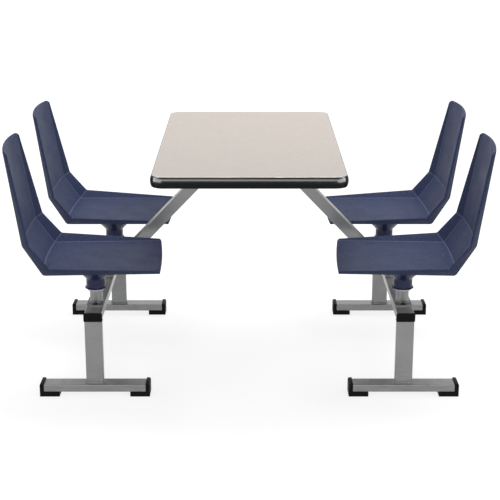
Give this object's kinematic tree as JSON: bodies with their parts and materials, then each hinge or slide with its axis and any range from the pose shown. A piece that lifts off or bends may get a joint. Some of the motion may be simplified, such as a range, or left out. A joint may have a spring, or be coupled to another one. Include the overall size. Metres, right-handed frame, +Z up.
{
  "type": "cluster table with swivel seats",
  "caption": "Rectangular laminate table with moulded bucket seats that swivel on two tube beams, joined to the top by leaning arms.",
  "frame": {"origin": "on the floor under the middle of the table top", "axes": "+X to the right across the table, from the left seats to the right seats; +Y along the table, away from the viewer; +Z up"},
  "size_m": [1.5684, 1.118, 0.8351],
  "materials": {
    "laminate_top": "fine textured laminate",
    "particle_board": "raw board",
    "backer_sheet": "matt",
    "vinyl_edge": "glossy black vinyl",
    "painted_frame": "silver-grey powder coat",
    "black_plastic": "moulded, satin",
    "zinc_steel": "zinc plated",
    "nylon": "natural white nylon",
    "black_steel": "black, lightly oiled",
    "seat_shell": "moulded navy shell, satin",
    "swivel_cover": "moulded navy cover, satin"
  },
  "bodies": {
    "frame": {"tabletop_laminate": "laminate_top", "tabletop_core": "particle_board", "tabletop_backer": "backer_sheet", "tabletop_edge": "vinyl_edge", "table_beam_left": "painted_frame", "table_beam_right": "painted_frame", "cross_plates": "painted_frame", "arm_left": "painted_frame", "arm_right": "painted_frame", "seat_beam_left": "painted_frame", "seat_beam_right": "painted_frame", "post_front_left": "painted_frame", "post_front_right": "painted_frame", "post_rear_left": "painted_frame", "post_rear_right": "painted_frame", "foot_rail_front_left": "painted_frame", "foot_rail_front_right": "painted_frame", "foot_rail_rear_left": "painted_frame", "foot_rail_rear_right": "painted_frame", "stem_front_left": "painted_frame", "stem_front_right": "painted_frame", "stem_rear_left": "painted_frame", "stem_rear_right": "painted_frame", "base_plate_front_left": "painted_frame", "base_plate_front_right": "painted_frame", "base_plate_rear_left": "painted_frame", "base_plate_rear_right": "painted_frame", "table_beam_caps": "black_plastic", "seat_beam_caps_left": "black_plastic", "seat_beam_caps_right": "black_plastic", "glides_front_left": "black_plastic", "glides_front_right": "black_plastic", "glides_rear_left": "black_plastic", "glides_rear_right": "black_plastic", "table_screws": "zinc_steel", "retaining_bolts": "zinc_steel", "stop_pins": "zinc_steel", "dust_rings": "nylon", "base_bolts": "black_steel"},
    "seat_front_left": {"seat_shell_front_left": "seat_shell", "swivel_cover_front_left": "swivel_cover", "swivel_head_front_left": "black_steel", "swivel_bushings_front_left": "nylon", "seat_bolts_front_left": "zinc_steel"},
    "seat_front_right": {"seat_shell_front_right": "seat_shell", "swivel_cover_front_right": "swivel_cover", "swivel_head_front_right": "black_steel", "swivel_bushings_front_right": "nylon", "seat_bolts_front_right": "zinc_steel"},
    "seat_rear_left": {"seat_shell_rear_left": "seat_shell", "swivel_cover_rear_left": "swivel_cover", "swivel_head_rear_left": "black_steel", "swivel_bushings_rear_left": "nylon", "seat_bolts_rear_left": "zinc_steel"},
    "seat_rear_right": {"seat_shell_rear_right": "seat_shell", "swivel_cover_rear_right": "swivel_cover", "swivel_head_rear_right": "black_steel", "swivel_bushings_rear_right": "nylon", "seat_bolts_rear_right": "zinc_steel"}
  },
  "joints": [
    {"name": "swivel_front_left", "type": "hinge", "parent": "frame", "child": "seat_front_left", "pos_m": [-0.508, -0.3048, 0.41], "axis": [0, 0, 1], "range_deg": [-93, 87]},
    {"name": "swivel_front_right", "type": "hinge", "parent": "frame", "child": "seat_front_right", "pos_m": [0.508, -0.3048, 0.41], "axis": [0, 0, 1], "range_deg": [-87, 93]},
    {"name": "swivel_rear_left", "type": "hinge", "parent": "frame", "child": "seat_rear_left", "pos_m": [-0.508, 0.3048, 0.41], "axis": [0, 0, 1], "range_deg": [-90, 90]},
    {"name": "swivel_rear_right", "type": "hinge", "parent": "frame", "child": "seat_rear_right", "pos_m": [0.508, 0.3048, 0.41], "axis": [0, 0, 1], "range_deg": [-90, 90]}
  ]
}
